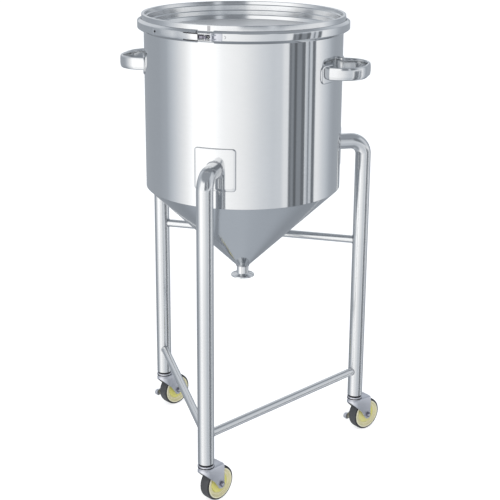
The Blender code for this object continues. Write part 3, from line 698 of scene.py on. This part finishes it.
def wall_sheet_mesh(name, angle, height, size, sheet):
    """A plate with rounded corners bent to the wall, with its outer rim eased."""
    rim = rounded_plate(*size, 8, 4 * MM)
    inner = BODY_R + 0.3 * MM
    ease = 0.5 * MM
    rings = []
    for shrink, radius in ((0, inner), (0, inner + sheet - ease), (0.35 * ease, inner + sheet - 0.35 * ease),
                           (ease, inner + sheet)):
        share = 1 - 2 * shrink / size[1]
        rings.append([on_wall(radius, angle, x * share, height + y * share) for x, y in rim])
    steps = 8
    for k in range(1, steps):
        share = (1 - 2 * ease / size[1]) * (1 - k / steps)
        rings.append([on_wall(inner + sheet, angle, x * share, height + y * share) for x, y in rim])
    rings.append([on_wall(inner + sheet, angle, 0, height)] * len(rim))
    return grid_mesh(name, rings, True, False)


def rim_weld(name, angle, height, size, radius):
    """A thin bead round a plate on the wall."""
    wide, tall, corner = size
    rim = rounded_plate(wide + radius, tall + radius, corner + radius / 2, 8, 1.5 * MM)
    path = [on_wall(BODY_R + 0.5 * MM, angle, x, height + y) for x, y in rim]
    show(name, bead_mesh("bead", path, radius, True, 0.10, 2.8 * MM), WELD, "vessel", "mirror_steel")


def leg_path(angle):
    out = Vector((cos(angle), sin(angle), 0))
    start = BODY_R + PAD_SHEET + 0.6 * MM
    bend = arc(LEG_CIRCLE_R - LEG_BEND_R, LEG_TOP_Z - LEG_BEND_R, LEG_BEND_R, radians(90), 0, 24)
    flat = [(start, LEG_TOP_Z)] + bend + [(LEG_CIRCLE_R, LEG_FOOT_Z)]
    return [AXIS + out * r + Vector((0, 0, z)) for r, z in flat]


def make_leg(side, angle):
    tangent = Vector((-sin(angle), cos(angle), 0))
    mesh = swept_mesh("leg", leg_path(angle), circle(LEG_R, 64), tangent)
    show("pipe_" + side, mesh, PIPE, "vessel", "mirror_steel", "leg_" + side, "leg_plug_" + side)
    size = (PAD_SIDE, PAD_SIDE, PAD_CORNER)
    pad = wall_sheet_mesh("pad", angle, LEG_TOP_Z, size, PAD_SHEET)
    show("pad_" + side, pad, MIRROR, "vessel", "mirror_steel", "leg_pad_" + side)
    rim_weld("pad_weld_" + side, angle, LEG_TOP_Z, size, 0.7 * MM)
    face = BODY_R + 0.3 * MM + PAD_SHEET
    stub = []
    for i in range(120):
        a = 2 * pi * i / 120
        across = (LEG_R + 0.5 * MM) * sin(a)
        stub.append(on_wall(face + 0.4 * MM, angle, across, LEG_TOP_Z + (LEG_R + 0.5 * MM) * cos(a)))
    show("stub_weld_" + side, bead_mesh("stub_weld", stub, 1.3 * MM, True, 0.08, 3.0 * MM), WELD, "vessel",
         "mirror_steel")


def leg_foot(side):
    angle = LEG_ANGLES[side]
    return AXIS + Vector((LEG_CIRCLE_R * cos(angle), LEG_CIRCLE_R * sin(angle), 0))


def make_brace(name, first, second, height):
    lift = Vector((0, 0, height))
    start = leg_foot(first) + lift
    end = leg_foot(second) + lift
    run = (end - start).normalized()
    up = Vector((0, 0, 1))
    across = run.cross(up)
    rings = []
    for origin, sign in ((start, 1), (end, -1)):
        rings.append([])
        for s, u in circle(BRACE_R, 40):
            reach = sqrt(LEG_R ** 2 - s ** 2) + 0.2 * MM
            rings[-1].append(origin + run * (sign * reach) + across * s + up * u)
    show(name + "_pipe", grid_mesh("brace", rings, True, False), PIPE, "vessel", "mirror_steel", name)
    for index, (origin, sign) in enumerate(((start, 1), (end, -1))):
        bead = []
        for s, u in circle(BRACE_R + 0.4 * MM, 72):
            reach = sqrt(LEG_R ** 2 - s ** 2) + 0.4 * MM
            bead.append(origin + run * (sign * reach) + across * s + up * u)
        show(f"{name}_weld_{index}", bead_mesh("brace_weld", bead, 0.9 * MM, True, 0.1, 2.4 * MM), WELD,
             "vessel", "mirror_steel")


def crowned(width, height, squareness, count=32):
    """A section between an oval and a rectangle, as a flat bar has with its edges rounded off."""
    points = []
    for i in range(count):
        a = 2 * pi * i / count
        x = copysign(abs(cos(a)) ** (2 / squareness), cos(a)) * width / 2
        y = copysign(abs(sin(a)) ** (2 / squareness), sin(a)) * height / 2
        points.append((x, y))
    return points


def make_handle(side, angle):
    half = HANDLE_HALF_SPAN - HANDLE_THICK / 2
    reach = HANDLE_REACH - HANDLE_THICK / 2
    turn = HANDLE_BEND_R
    inside = sqrt(BODY_R ** 2 - half ** 2) - 3 * MM
    plan = [(inside, -half)]
    plan += arc(reach - turn, -half + turn, turn, radians(-90), 0, 20)
    plan += arc(reach - turn, half - turn, turn, 0, radians(90), 20)
    plan += [(inside, half)]
    out = Vector((cos(angle), sin(angle), 0))
    across = Vector((-sin(angle), cos(angle), 0))
    path = [AXIS + out * x + across * y + Vector((0, 0, HANDLE_Z)) for x, y in plan]
    mesh = swept_mesh("handle", path, crowned(HANDLE_THICK, HANDLE_TALL, 2.8), Vector((0, 0, 1)))
    show("grip_" + side, mesh, PIPE, "vessel", "mirror_steel", "handle_" + side)
    spread = asin(half / BODY_R) + radians(1.5)
    for end, sign in (("near", -1), ("far", 1)):
        at = angle + sign * spread
        name = f"{side}_{end}"
        show("foot_" + name, wall_sheet_mesh("foot", at, HANDLE_Z, FOOT, 2 * MM), MIRROR, "vessel",
             "mirror_steel")
        rim_weld("foot_weld_" + name, at, HANDLE_Z, FOOT, 0.6 * MM)


# Casters


def wheel_matrix(side):
    """The wheel's centre, with local Z along the axle."""
    caster = Matrix.Translation(leg_foot(side)) @ Matrix.Rotation(TRAIL_ANGLES[side], 4, "Z")
    return caster @ Matrix.Translation((TRAIL, 0, WHEEL_R)) @ Matrix.Rotation(radians(90), 4, "X")


def mirrored(half):
    return half + [(r, -z, ease) for r, z, ease in reversed(half)]


def make_wheel(side):
    at = wheel_matrix(side)
    body = "wheel_" + side
    wall = mirrored([(CENTRE_R + 0.2 * MM, TYRE_HALF - 0.5 * MM, 0.3 * MM), (34.0 * MM, TYRE_HALF, 0.6 * MM),
                     (36.3 * MM, TYRE_HALF - 1.6 * MM, 1.2 * MM), (36.6 * MM, TYRE_HALF - 2.8 * MM, 0.2 * MM)])
    show("tyre_" + side, turned_mesh("tyre", eased(wall, 4), 96, place=at), TYRE, body, "tyre_rubber",
         "caster_tyre_" + side)
    tread = mirrored([(35.5 * MM, TYRE_HALF - 2.0 * MM, 0.0), (36.6 * MM, TYRE_HALF - 1.7 * MM, 0.4 * MM),
                      (37.2 * MM, TYRE_HALF - 3.6 * MM, 1.5 * MM), (WHEEL_R, TYRE_HALF - 8 * MM, 2 * MM)])
    show("tread_" + side, turned_mesh("tread", eased(tread, 4), 96, place=at), TREAD, body, "tyre_rubber")
    hub = [(4.35 * MM, 13 * MM, 0.3 * MM), (8.2 * MM, 13 * MM, 0.8 * MM), (9.4 * MM, 8.8 * MM, 1.2 * MM),
           (21.0 * MM, 8.4 * MM, 0.5 * MM), (21.8 * MM, 6.4 * MM, 0.1 * MM)]
    show("hub_" + side, turned_mesh("hub", eased(mirrored(hub), 3), 96, place=at), HUB, body, "wheel_plastic",
         "caster_wheel_" + side)
    centre = [(21.3 * MM, 7.0 * MM, 0.0), (22.4 * MM, 7.0 * MM, 0.3 * MM), (23.0 * MM, 8.0 * MM, 0.4 * MM),
              (27.0 * MM, 7.7 * MM, 1.6 * MM), (29.2 * MM, 10.8 * MM, 0.8 * MM), (30.4 * MM, 11.0 * MM, 0.2 * MM)]
    show("centre_" + side, turned_mesh("centre", eased(mirrored(centre), 3), 96, place=at), WHEEL, body,
         "wheel_plastic")
    border = mirrored([(30.1 * MM, 9.0 * MM, 0.0), (30.3 * MM, 11.8 * MM, 0.4 * MM),
                       (31.6 * MM, 12.1 * MM, 0.4 * MM), (CENTRE_R, 11.6 * MM, 0.4 * MM)])
    show("border_" + side, turned_mesh("border", eased(border, 3), 96, place=at), BORDER, body,
         "wheel_plastic")


def make_bolt(side):
    """The axle bolt: a shaft with a head far out and a nut on the near side, and its bright end."""
    at = wheel_matrix(side)
    near = FORK_HALF + 0.3 * MM
    far = near + (4.1 * MM if "brake_pedal_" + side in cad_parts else 0.0)
    shaft = [(0.0, -far - 4.0 * MM, 0), (3.6 * MM, -far - 4.0 * MM, 0.8 * MM),
             (3.6 * MM, -far - 3.0 * MM, 0), (5.6 * MM, -far - 3.0 * MM, 0.9 * MM), (5.6 * MM, -far, 0.4 * MM),
             (AXLE_R, -far, 0), (AXLE_R, near, 0), (5.6 * MM, near, 0.4 * MM),
             (5.6 * MM, near + 2.9 * MM, 0.9 * MM), (0.0, near + 2.9 * MM, 0)]
    show("bolt_" + side, turned_mesh("bolt", eased(shaft, 3, closed=False), 48, closed=False, place=at), BOLT,
         "swivel_" + side, "bolt_steel", "caster_axle_" + side)
    end = [(0.0, near + 2.6 * MM, 0), (3.1 * MM, near + 2.6 * MM, 0), (3.1 * MM, near + 4.1 * MM, 0.7 * MM),
           (0.0, near + 4.1 * MM, 0)]
    show("bolt_end_" + side, turned_mesh("bolt_end", eased(end, 3, closed=False), 32, closed=False, place=at),
         PRESSED, "swivel_" + side, "bolt_steel")


def make_race_shade(side):
    """Painted shade: a dark ring in the gap under the leg, where the balls sit in their pockets, and another in the
    groove between the races.
    """
    at = Matrix.Translation(leg_foot(side))
    neck = [(12.3 * MM, 89.9 * MM), (15.6 * MM, 89.9 * MM), (15.6 * MM, 93.5 * MM), (12.3 * MM, 93.5 * MM)]
    # a dark ring of painted shade in the gap under the leg
    show("race_gap_shade_" + side, turned_mesh("neck", neck, 64, place=at), DARK_AND_SHADE, "vessel", "pressed_steel")
    groove = [(16.6 * MM, 83.9 * MM), (17.35 * MM, 83.9 * MM), (17.35 * MM, 86.2 * MM), (16.6 * MM, 86.2 * MM)]
    # a dark ring of painted shade in the groove between the races
    show("race_groove_shade_" + side, turned_mesh("groove", groove, 64, place=at), DARK_AND_SHADE, "vessel", "pressed_steel")


def make_caster(side):
    make_wheel(side)
    show("fork_" + side, softened_mesh("caster_fork_" + side, 0.5 * MM), PRESSED, "swivel_" + side,
         "pressed_steel", "caster_fork_" + side)
    make_bolt(side)
    make_race_shade(side)
    show("stem_" + side, softened_mesh("caster_stem_" + side, 0.3 * MM), PRESSED, "vessel",
         "pressed_steel", "caster_stem_" + side)
    if "brake_pedal_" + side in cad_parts:
        show("pedal_" + side, softened_mesh("brake_pedal_" + side, 0.6 * MM), PRESSED, "brake_" + side,
             "pressed_steel", "brake_pedal_" + side)


# Studio


def make_floor():
    half = 60.0
    mesh = plate_mesh("floor", [(-half, -half), (half, -half), (half, half), (-half, half)], -0.02, -0.0005)
    floor = bpy.data.objects.new("floor", mesh)
    bpy.context.scene.collection.objects.link(floor)
    paper = bpy.data.materials.new("paper")
    paper.use_nodes = True
    shader = paper.node_tree.nodes["Principled BSDF"]
    shader.inputs["Base Color"].default_value = (0.9, 0.9, 0.9, 1)
    shader.inputs["Roughness"].default_value = 1.0
    shader.inputs["Emission Color"].default_value = (1, 1, 1, 1)
    shader.inputs["Emission Strength"].default_value = 0.60
    mesh.materials.append(paper)
    floor.visible_glossy = False


def make_lamp(name, place, aim, size, power):
    lamp = bpy.data.lights.new(name, "AREA")
    lamp.size = size
    lamp.energy = power
    thing = bpy.data.objects.new(name, lamp)
    thing.location = place
    thing.rotation_mode = "QUATERNION"
    thing.rotation_quaternion = (Vector(aim) - Vector(place)).to_track_quat("-Z", "Y")
    thing.visible_glossy = False
    bpy.context.scene.collection.objects.link(thing)


def make_camera():
    away = -TO_CAMERA
    up = Vector((0, 0, 1))
    forward = TO_RIGHT * (sin(CAMERA_YAW) * cos(CAMERA_PITCH)) + away * (cos(CAMERA_YAW) * cos(CAMERA_PITCH))
    forward = forward - up * sin(CAMERA_PITCH)
    level = TO_RIGHT * cos(CAMERA_YAW) - away * sin(CAMERA_YAW)
    over = level.cross(forward)
    right = level * cos(CAMERA_ROLL) + over * sin(CAMERA_ROLL)
    top = over * cos(CAMERA_ROLL) - level * sin(CAMERA_ROLL)
    lens = bpy.data.cameras.new("camera")
    lens.sensor_width = SENSOR
    lens.lens = CAMERA_LENS
    lens.shift_x, lens.shift_y = CAMERA_SHIFT
    camera = bpy.data.objects.new("camera", lens)
    turn = Matrix((right, top, -forward)).transposed().to_4x4()
    camera.matrix_world = Matrix.Translation(AXIS + TO_CAMERA * CAMERA_DISTANCE + up * CAMERA_HEIGHT) @ turn
    bpy.context.scene.collection.objects.link(camera)
    bpy.context.scene.camera = camera


make_camera()
make_world()
make_floor()
make_lamp("key", (1.6, -2.2, 2.6), (0, 0, 0.5), 1.6, 40)
make_shell()
make_outlet(make_cone())
make_lid()
make_band()
make_catch()
make_latch()
make_lever_shadow_lines()
make_marks()
for leg, turn in LEG_ANGLES.items():
    make_leg(leg, turn)
    make_caster(leg)
for brace, (one, other, level) in BRACES.items():
    make_brace(brace, one, other, level)
make_handle("right", 0.0)
make_handle("left", pi)
bpy.context.scene.view_settings.view_transform = "Standard"
